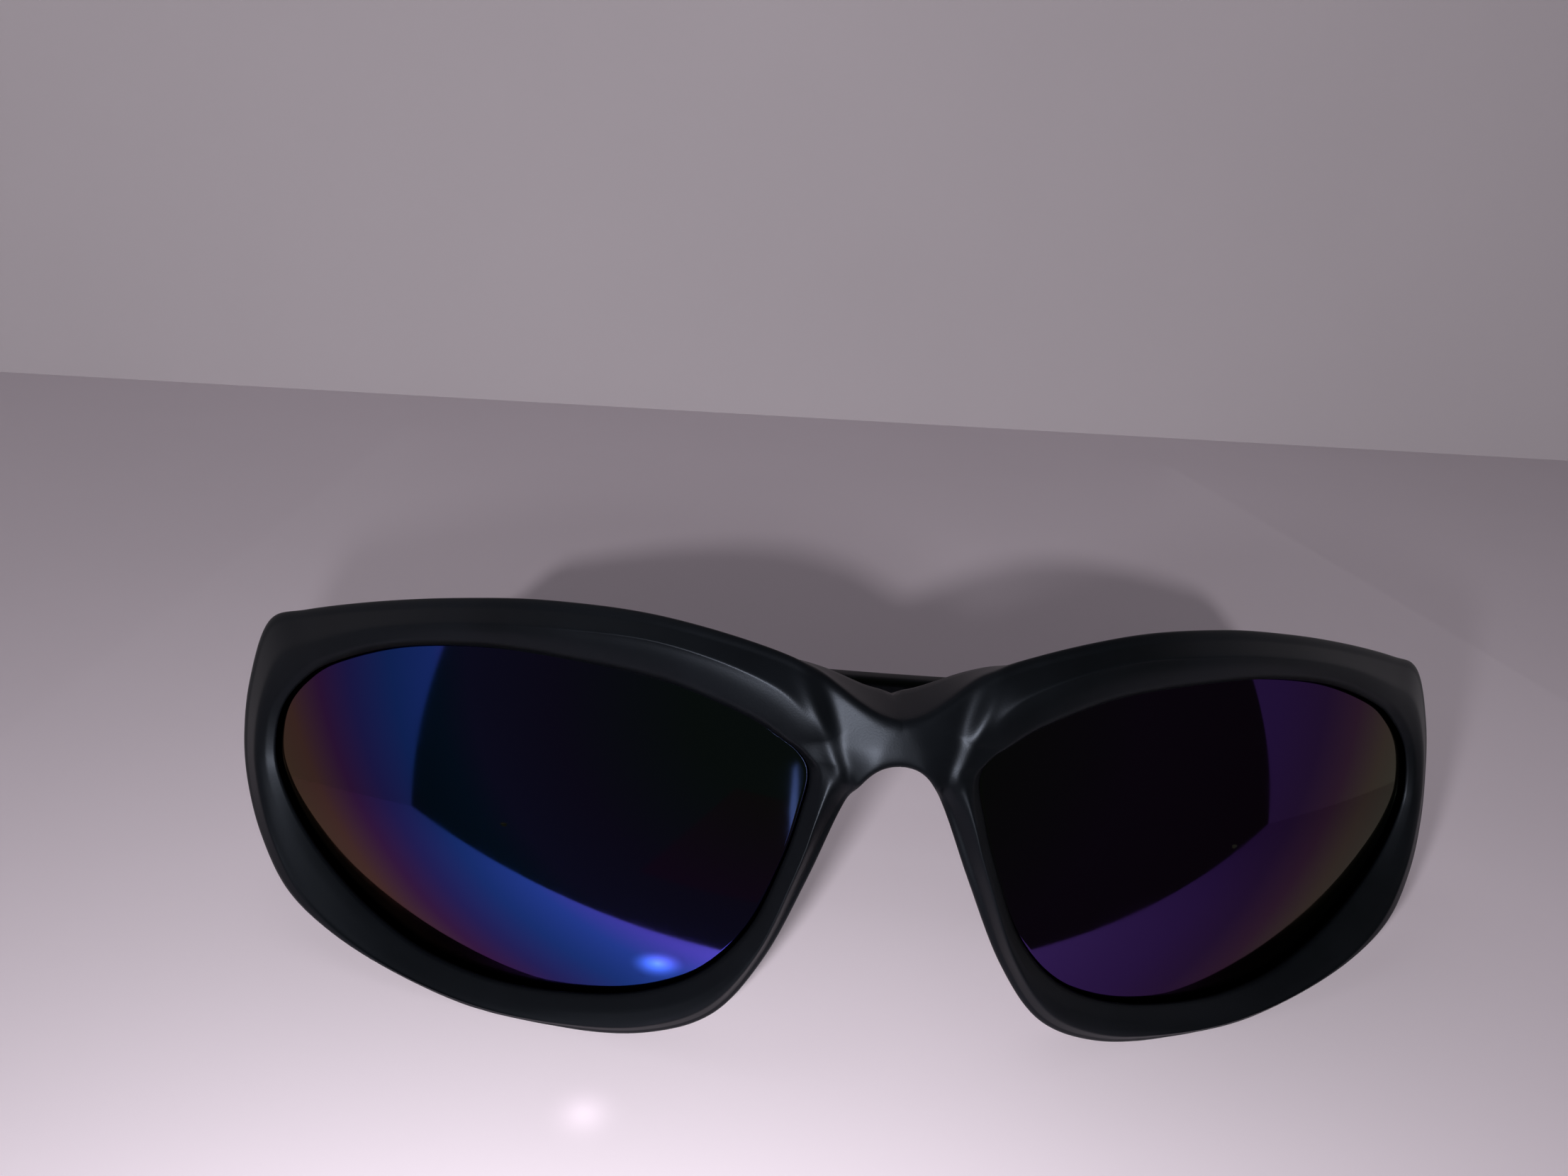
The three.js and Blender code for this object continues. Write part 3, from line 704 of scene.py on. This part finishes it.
def nose_pad(side):
    rings = []
    for i in range(PAD_STEPS + 1):
        t = i / PAD_STEPS
        u = lerp(*PAD_STATIONS, t)
        x = rim_value(u, EDGE_X, seam=True, flips=True)
        z = rim_value(u, EDGE_Z, seam=True)
        y = lens_surface(x, z) + rim_value(u, BACK) + CLEARANCE
        swell = math.sqrt(max(1 - (2 * t - 1) ** 2, PAD_BLUNT))
        width = PAD_WIDTH * swell
        depth = PAD_DEPTH * swell
        outline = [
            (x + 0.9, y),
            (x + 0.9 + width, y),
            (x + 1.1 + width + PAD_LEAN, y + depth * 0.6),
            (x + 0.7 + width * 0.6 + PAD_LEAN, y + depth),
            (x + 0.3 + PAD_LEAN, y + depth),
            (x + 0.4, y + depth * 0.5),
        ]
        rings.append([world(SIGN[side] * px, py, z) for px, py in outline])
    obj = new_object(f"soft_nose_pad_{side}", *loft(rings), RUBBER, "soft_rubber")
    subdivide(obj, 2)
    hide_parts(f"nose_pad_{side}")
    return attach(obj, "front")


# ------------------------------------------------------------------ temples, in the hinge frame
TEMPLE_LENGTH = 95
TEMPLE_START = 2.4
TEMPLE_RINGS = 56
TONGUE_START = 70
TONGUE_END = 71.5                   # the rest of the tongue is hidden inside the sleeve
TONGUE_SINK = 0.3
TEMPLE_DRAW_IN = 1.6                # how far the inner face curves towards the head at the tip
CORNER = 1.1                        # a section's corner radius, and its most against width and height
CORNER_OF_WIDTH = 0.32
CORNER_OF_HEIGHT = 0.5
BEND_START = 73
BEND_BLEND = 11
BEND_SLOPE = 1.1
SECTION_LEAN = 0.45                 # how far a section leans with the bend, against the slope
SLEEVE_RINGS = 28
TIP_LENGTH = 2
TIP_SHORT = 0.3                     # the tip stays this far inside the CAD model's tip

# Where the ends round off: distance from the pivot, or from the tip, and the share of the height.
TEMPLE_FRONT = [(1.2, 0.45), (1.2, 0.9), (1.5, 0.97)]
TIP_ROUND = [(1.2, 0.95), (0.7, 0.84), (0.35, 0.7), (0.12, 0.55), (0.0, 0.38), (0.0, 0.15)]

# Height of the top edge, height of the section and its width, each against the distance from the pivot.
TEMPLE_TOP = [(2, 7.4), (14, 7.2), (30, 5.6), (46, 4.3), (58, 4.0), (73, 4.0)]
TEMPLE_TALL = [(2, 13.2), (14, 12.8), (30, 10.4), (46, 7.6), (58, 6.0), (69, 5.1), (95, 5.6)]
TEMPLE_WIDE = [(2, 4.4), (14, 4.4), (40, 3.6), (66, 3.3), (95, 3.3)]


def along(table, s):
    """A smooth curve through the table's points, level at both ends."""
    def slope(i):
        if i == 0 or i == len(table) - 1:
            return 0.0
        return (table[i + 1][1] - table[i - 1][1]) / (table[i + 1][0] - table[i - 1][0])

    if s <= table[0][0]:
        return table[0][1]
    for i, ((s0, v0), (s1, v1)) in enumerate(zip(table, table[1:])):
        if s <= s1:
            t = (s - s0) / (s1 - s0)
            bend = (slope(i) * (1 - t) - slope(i + 1) * t) * (s1 - s0)
            return lerp(v0, v1, smoothstep(t, 0, 1)) + t * (1 - t) * bend
    return table[-1][1]


def temple_top(s):
    """Height of the top edge, which bends down smoothly over BEND_BLEND and then runs straight."""
    past = s - BEND_START
    if past <= 0:
        return along(TEMPLE_TOP, s)
    run = past * past / (2 * BEND_BLEND) if past < BEND_BLEND else past - BEND_BLEND / 2
    return along(TEMPLE_TOP, BEND_START) - BEND_SLOPE * run


def temple_ring(s, tip=1.0, grow=0.0):
    """One rounded section, leaning with the bend; tip scales its height, and its width half as much."""
    tall = along(TEMPLE_TALL, s)
    wide = along(TEMPLE_WIDE, s)
    middle = temple_top(s) - tall / 2
    half_tall = tall / 2 * tip + grow
    inner = LEAF_FACE - TEMPLE_DRAW_IN * (s / TEMPLE_LENGTH) ** 2
    half = wide / 2 * min(1, 0.55 + 0.45 * tip) + grow
    centre = inner + wide / 2
    radius = min(CORNER, wide * CORNER_OF_WIDTH, half_tall * CORNER_OF_HEIGHT)
    ring = rounded_slab(centre - half, centre + half, s, middle - half_tall, middle + half_tall, radius)
    slope = min(max((s - BEND_START) / BEND_BLEND, 0), 1) * BEND_SLOPE
    return [Vector((p.x, p.y + (p.z - middle) * slope * SECTION_LEAN, p.z)) for p in ring]


def placed(side, turn, part):
    """A part in the hinge frame, mirrored and turned for its side, in the row frame."""
    sign = SIGN[side]
    at_hinge = Matrix.Translation(world(sign * HINGE[0], HINGE[1], HINGE[2]))
    mirror = Matrix.Scale(sign, 4, (1, 0, 0))
    matrix = at_hinge @ Matrix.Rotation(turn, 4, "Z") @ mirror @ Matrix.Scale(MM, 4)
    return moved(part, matrix)


def temple(side):
    rings = [temple_ring(s, scale) for s, scale in TEMPLE_FRONT]
    length = TONGUE_START - TEMPLE_START
    rings += [temple_ring(TEMPLE_START + length * k / TEMPLE_RINGS) for k in range(TEMPLE_RINGS + 1)]
    rings += [temple_ring(TONGUE_START, 0.9, -0.05)]
    rings += [temple_ring(s, 0.8, -TONGUE_SINK) for s in (TONGUE_START, TONGUE_END)]
    part = placed(side, TURN[side], loft(rings))
    obj = new_object(f"temple_arm_{side}", *part, PLASTIC, "frame_plastic")
    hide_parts(f"temple_{side}")
    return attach(obj, f"temple_{side}")


def sleeve(side):
    start = TONGUE_START + CLEARANCE
    last = TEMPLE_LENGTH - TIP_LENGTH
    rings = [temple_ring(start, 0.5), temple_ring(start, 0.93), temple_ring(start + 0.3, 1.0)]
    rings += [temple_ring(lerp(start + 0.6, last, k / SLEEVE_RINGS)) for k in range(SLEEVE_RINGS + 1)]
    rings += [temple_ring(TEMPLE_LENGTH - TIP_SHORT - short, scale) for short, scale in TIP_ROUND]
    part = placed(side, TURN[side], loft(rings))
    obj = new_object(f"ear_grip_{side}", *part, RUBBER, "soft_rubber")
    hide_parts(f"ear_sleeve_{side}")
    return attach(obj, f"temple_{side}")


# ------------------------------------------------------------------ hinges
def chamfered_rod(radius, z0, z1, chamfer=0.25):
    return lathe([
        (radius * 0.5, z0),
        (radius - chamfer, z0),
        (radius, z0 + chamfer),
        (radius, z1 - chamfer),
        (radius - chamfer, z1),
        (radius * 0.5, z1),
    ])


def chamfered_block(low, high, chamfer=0.2):
    """A plate whose outline in y and z is rounded and whose faces have chamfered rims."""
    def ring(x, inset):
        flat = rounded_slab(low[1] + inset, high[1] - inset, x, low[2] + inset, high[2] - inset, 0.5)
        return [Vector((p.y, p.x, p.z)) for p in flat]

    return loft([
        ring(low[0], chamfer),
        ring(low[0] + chamfer, 0),
        ring(high[0] - chamfer, 0),
        ring(high[0], chamfer),
    ])


def leaf(name, side, direction, knuckles, turn, body):
    """A hinge plate behind (1) or in front of (-1) the pivot, with its knuckles and their webs."""
    near, far = sorted((LEAF_START * direction, LEAF_LENGTH * direction))
    web_near, web_far = sorted((WEB_START * direction, WEB_END * direction))
    leaf_far = LEAF_NEAR + LEAF_THICK
    parts = [chamfered_block((LEAF_NEAR, near, -LEAF_HALF), (leaf_far, far, LEAF_HALF))]
    for z0, z1 in knuckles:
        parts.append(chamfered_rod(KNUCKLE_R, z0, z1))
        parts.append(chamfered_block(
            (LEAF_NEAR - WEB_SINK, web_near, z0 + WEB_EASE),
            (leaf_far - WEB_SHORT, web_far, z1 - WEB_EASE),
        ))
    part = placed(side, turn, join(parts))
    obj = new_object(f"{name}_plate_{side}", *part, STEEL, "hinge_steel")
    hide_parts(f"{name}_{side}")
    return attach(obj, body)


def screw(side):
    """The pivot screw: a domed head with a cut slot, and its shank through the knuckles."""
    top = KNUCKLE_HALF + CLEARANCE
    head = [
        (0.45, top),
        (1.6, top),
        (SCREW_HEAD_R, top + 0.2),
        (SCREW_HEAD_R, top + 0.6),
        (1.55, top + 0.85),
        (0.9, top + SCREW_HEAD_TALL),
        (0.3, top + SCREW_HEAD_TALL),
    ]
    shank = [
        (0.3, -KNUCKLE_HALF + 0.02),
        (0.7, -KNUCKLE_HALF + 0.02),
        (PIN_R, -KNUCKLE_HALF + 0.25),
        (PIN_R, top + 0.1),
        (0.3, top + 0.1),
    ]
    part = placed(side, 0.0, join([lathe(head, 48), lathe(shank, 32)]))
    obj = new_object(f"hinge_screw_head_{side}", *part, STEEL, "hinge_steel")
    slot_low = (-SLOT_HALF_LENGTH, -SLOT_HALF_WIDTH, top + SLOT_FLOOR)
    slot_high = (SLOT_HALF_LENGTH, SLOT_HALF_WIDTH, top + SLOT_TOP)
    slot = placed(side, 0.0, chamfered_block(slot_low, slot_high, 0.01))
    cutter = new_object(f"slot_cutter_{side}", *slot, STEEL)
    cut = obj.modifiers.new("slot", "BOOLEAN")
    cut.operation = "DIFFERENCE"
    cut.solver = "EXACT"
    cut.object = cutter
    bpy.context.view_layer.update()
    mesh = bpy.data.meshes.new_from_object(obj.evaluated_get(bpy.context.evaluated_depsgraph_get()))
    obj.modifiers.clear()
    obj.data = mesh
    bpy.data.objects.remove(cutter)
    obj.data.shade_smooth()
    obj.data.set_sharp_from_angle(angle=math.radians(35))
    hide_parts(f"hinge_screw_{side}")
    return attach(obj, "front")


def rivet(name, side, direction, z, turn, body):
    """A rivet with its domed head on the plate's inner face."""
    profile = [
        (0.15, 0.5),
        (0.5, 0.5),
        (0.85, 0.38),
        (1.1, 0.22),
        (RIVET_HEAD_R, 0.03),
        (RIVET_HEAD_R, 0.0),
        (RIVET_SHANK_R, 0.0),
        (RIVET_SHANK_R, -RIVET_LENGTH),
        (0.3, -RIVET_LENGTH),
    ]
    on_plate = Matrix.Translation((LEAF_NEAR - CLEARANCE, direction * RIVET_Y, z))
    facing_in = Matrix.Rotation(math.radians(-90), 4, "Y")
    part = placed(side, turn, moved(lathe(profile, 28), on_plate @ facing_in))
    obj = new_object(f"{name}_head_{side}", *part, STEEL, "hinge_steel")
    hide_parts(f"{name}_{side}")
    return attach(obj, body)


front_shell()
outer_knuckles = [(-KNUCKLE_HALF, -MIDDLE_HALF - CLEARANCE), (MIDDLE_HALF + CLEARANCE, KNUCKLE_HALF)]
middle_knuckle = [(-MIDDLE_HALF, MIDDLE_HALF)]
for side in ("right", "left"):
    end_piece(side)
    lens(side)
    nose_pad(side)
    temple(side)
    sleeve(side)
    leaf("front_leaf", side, -1, outer_knuckles, 0.0, "front")
    leaf("temple_leaf", side, 1, middle_knuckle, TURN[side], f"temple_{side}")
    screw(side)
    for place, z in (("upper", RIVET_Z), ("lower", -RIVET_Z)):
        rivet(f"front_rivet_{place}", side, -1, z, 0.0, "front")
        rivet(f"temple_rivet_{place}", side, 1, z, TURN[side], f"temple_{side}")


# ------------------------------------------------------------------ stage
# In metres from here on.
FLOOR_REACH = 2
FLOOR_FRONT = -0.046                # where the floor ends for the lenses' reflections
WALL_Y = 0.36
WALL_TOP = 1.5
SIDE_BACK = 0.3
SIDE_TOP = 0.16


def sheet_material(name, colour, roughness):
    made, nodes, links, shader, coords = material(name)
    cloud = noise(nodes, links, coords, 9, 3)
    tones = colours(nodes, links, cloud, [
        (0.0, [c * 0.96 for c in colour]),
        (1.0, [c * 1.03 for c in colour]),
    ])
    links.new(tones, shader.inputs["Base Color"])
    shader.inputs["Roughness"].default_value = roughness
    return made


def flat_sheet(name, corners, made):
    obj = new_object(name, corners, [tuple(range(len(corners)))], made)
    return obj


def floor_corners(y0, y1):
    return [(-FLOOR_REACH, y0, 0), (FLOOR_REACH, y0, 0), (FLOOR_REACH, y1, 0), (-FLOOR_REACH, y1, 0)]


def upright_corners(start, end, top):
    """A standing sheet from start to end on the floor."""
    return [(*start, 0), (*end, 0), (*end, top), (*start, top)]


def side_corners(x):
    return upright_corners((x, FLOOR_FRONT), (x, SIDE_BACK), SIDE_TOP)


PALE = sheet_material("pale_floor", (0.66, 0.60, 0.655), 0.6)
flat_sheet("floor", floor_corners(FLOOR_FRONT, FLOOR_REACH), PALE)
front_floor = flat_sheet("floor_front", floor_corners(-FLOOR_REACH, FLOOR_FRONT), PALE)
front_floor.visible_glossy = False
WALL = sheet_material("pale_wall", (0.42, 0.39, 0.42), 0.7)
flat_sheet("wall", upright_corners((-FLOOR_REACH, WALL_Y), (FLOOR_REACH, WALL_Y), WALL_TOP), WALL)


def fading(tree, light):
    """The light at full strength in the card's middle and nothing at its rim."""
    coords = tree.nodes.new("ShaderNodeTexCoord").outputs["Generated"]
    centred = tree.nodes.new("ShaderNodeMapping")
    centred.inputs["Location"].default_value = (-1, -1, 0)
    centred.inputs["Scale"].default_value = (2, 2, 0)
    tree.links.new(coords, centred.inputs["Vector"])
    gradient = tree.nodes.new("ShaderNodeTexGradient")
    gradient.gradient_type = "QUADRATIC_SPHERE"
    tree.links.new(centred.outputs["Vector"], gradient.inputs["Vector"])
    mix = tree.nodes.new("ShaderNodeMixShader")
    tree.links.new(gradient.outputs["Fac"], mix.inputs["Fac"])
    tree.links.new(tree.nodes.new("ShaderNodeBsdfTransparent").outputs[0], mix.inputs[1])
    tree.links.new(light, mix.inputs[2])
    return mix.outputs[0]


# Glowing cards that only reflections see, painting reflections into the lenses and the frame's gloss:
# the white sides of a light box, a dim shape of the room beyond it, a painted streak of reflected light
# in front of the left lens and a small bright spot near the floor that paints a glint on the left lens.
SIDE_GLOW_COLOUR = (0.62, 0.57, 0.61)
STREAK_Y = -0.138
STREAK_X_Z = [
    (-0.0262, 0.016),
    (-0.0290, 0.020),
    (-0.0302, 0.036),
    (-0.0298, 0.056),
    (-0.0285, 0.060),
    (-0.0275, 0.050),
    (-0.0272, 0.036),
]
ROOM_CORNERS = [(-0.62, -1.0, -0.25), (0.10, -1.1, -0.30), (0.05, -1.1, 0.10), (-0.35, -1.05, 0.16)]
PAINTED_REFLECTION_CARDS = {
    "side_left": (SIDE_GLOW_COLOUR, 0.62, side_corners(-0.125)),
    "side_right": (SIDE_GLOW_COLOUR, 0.62, side_corners(0.155)),
    "room_warm": ((1.0, 0.62, 0.30), 0.09, ROOM_CORNERS),
    "streak": ((0.7, 0.8, 1.0), 1.5, [(x, STREAK_Y, z) for x, z in STREAK_X_Z]),
    "glint": ((1.0, 0.88, 1.0), 9.0, circle(-0.0294, -0.0347, 0.0006, radius=0.0042, steps=20)),
}
for name, (colour, strength, corners) in PAINTED_REFLECTION_CARDS.items():
    # Each card is an emitter that only glossy rays see, so it paints a reflection and lights nothing.
    glow = bpy.data.materials.new(f"{name}_glow")
    glow.use_nodes = True
    glow.node_tree.nodes.clear()
    light = glow.node_tree.nodes.new("ShaderNodeEmission")
    light.inputs["Color"].default_value = (*colour, 1)
    light.inputs["Strength"].default_value = strength
    output = glow.node_tree.nodes.new("ShaderNodeOutputMaterial")
    shown = fading(glow.node_tree, light.outputs[0]) if name == "glint" else light.outputs[0]
    glow.node_tree.links.new(shown, output.inputs["Surface"])
    card = flat_sheet(f"{name}_card", corners, glow)
    card.visible_camera = False
    card.visible_diffuse = False
    card.visible_shadow = False


# ------------------------------------------------------------------ light
def area_light(name, place, target, size, watts, colour):
    data = bpy.data.lights.new(name, "AREA")
    data.shape = "DISK"
    data.size = size
    data.energy = watts
    data.color = colour
    obj = bpy.data.objects.new(name, data)
    obj.location = place
    aim = Vector(target) - Vector(place)
    obj.rotation_mode = "QUATERNION"
    obj.rotation_quaternion = aim.to_track_quat("-Z", "Y")
    bpy.context.scene.collection.objects.link(obj)
    return obj


# The lenses mirror the pale surroundings only, so the lamps aren't linked to them.
unlit = bpy.data.collections.new("mirrors")
for side in ("right", "left"):
    unlit.objects.link(bpy.data.objects[f"mirror_lens_{side}"])
for link in unlit.collection_objects:
    link.light_linking.link_state = "EXCLUDE"

# Name, place, target, size, watts and colour.
LAMPS = [
    ("near_lamp", (-0.038, -0.136, 0.068), (0, 0, 0.02), 0.010, 0.26, (1.0, 0.97, 1.0)),
    ("far_lamp", (-0.22, -1.15, 0.33), (0, 0.02, 0.02), 0.05, 11.0, (1.0, 0.95, 0.97)),
    ("overhead", (-0.3, 0.15, 0.9), (0, 0.05, 0), 0.7, 0.6, (0.96, 0.96, 1.0)),
]
for settings in LAMPS:
    lamp = area_light(*settings)
    lamp.visible_camera = False
    lamp.light_linking.receiver_collection = unlit

# The world lights everything palely, but mirrors see it as a dim yellowish green.
room = bpy.data.worlds.new("pale_room")
room.use_nodes = True
room_nodes = room.node_tree.nodes
room_links = room.node_tree.links
room_nodes.clear()
pale_light = room_nodes.new("ShaderNodeBackground")
pale_light.inputs["Color"].default_value = (0.70, 0.66, 0.71, 1)
pale_light.inputs["Strength"].default_value = 0.06
dark_light = room_nodes.new("ShaderNodeBackground")
dark_light.inputs["Color"].default_value = (0.90, 1.0, 0.42, 1)
dark_light.inputs["Strength"].default_value = 0.07
path = room_nodes.new("ShaderNodeLightPath")
mix = room_nodes.new("ShaderNodeMixShader")
room_out = room_nodes.new("ShaderNodeOutputWorld")
room_links.new(path.outputs["Is Glossy Ray"], mix.inputs["Fac"])
room_links.new(pale_light.outputs[0], mix.inputs[1])
room_links.new(dark_light.outputs[0], mix.inputs[2])
room_links.new(mix.outputs[0], room_out.inputs["Surface"])
bpy.context.scene.world = room
bpy.context.scene.view_settings.view_transform = "Standard"

# ------------------------------------------------------------------ camera
CAMERA_PLACE = (-0.02091, -0.12831, 0.08504)
CAMERA_TURN = (71.8272, -3.8256, -3.2692)   # degrees about x, y and z
CAMERA_LENS = 27.05
CAMERA_SENSOR = 36.0

camera_data = bpy.data.cameras.new("camera")
camera_data.lens = CAMERA_LENS
camera_data.sensor_width = CAMERA_SENSOR
camera_data.clip_start = 0.005
camera = bpy.data.objects.new("camera", camera_data)
bpy.context.scene.collection.objects.link(camera)
turned = Euler([math.radians(angle) for angle in CAMERA_TURN]).to_matrix().to_4x4()
camera.matrix_world = Matrix.Translation(CAMERA_PLACE) @ turned
bpy.context.scene.camera = camera
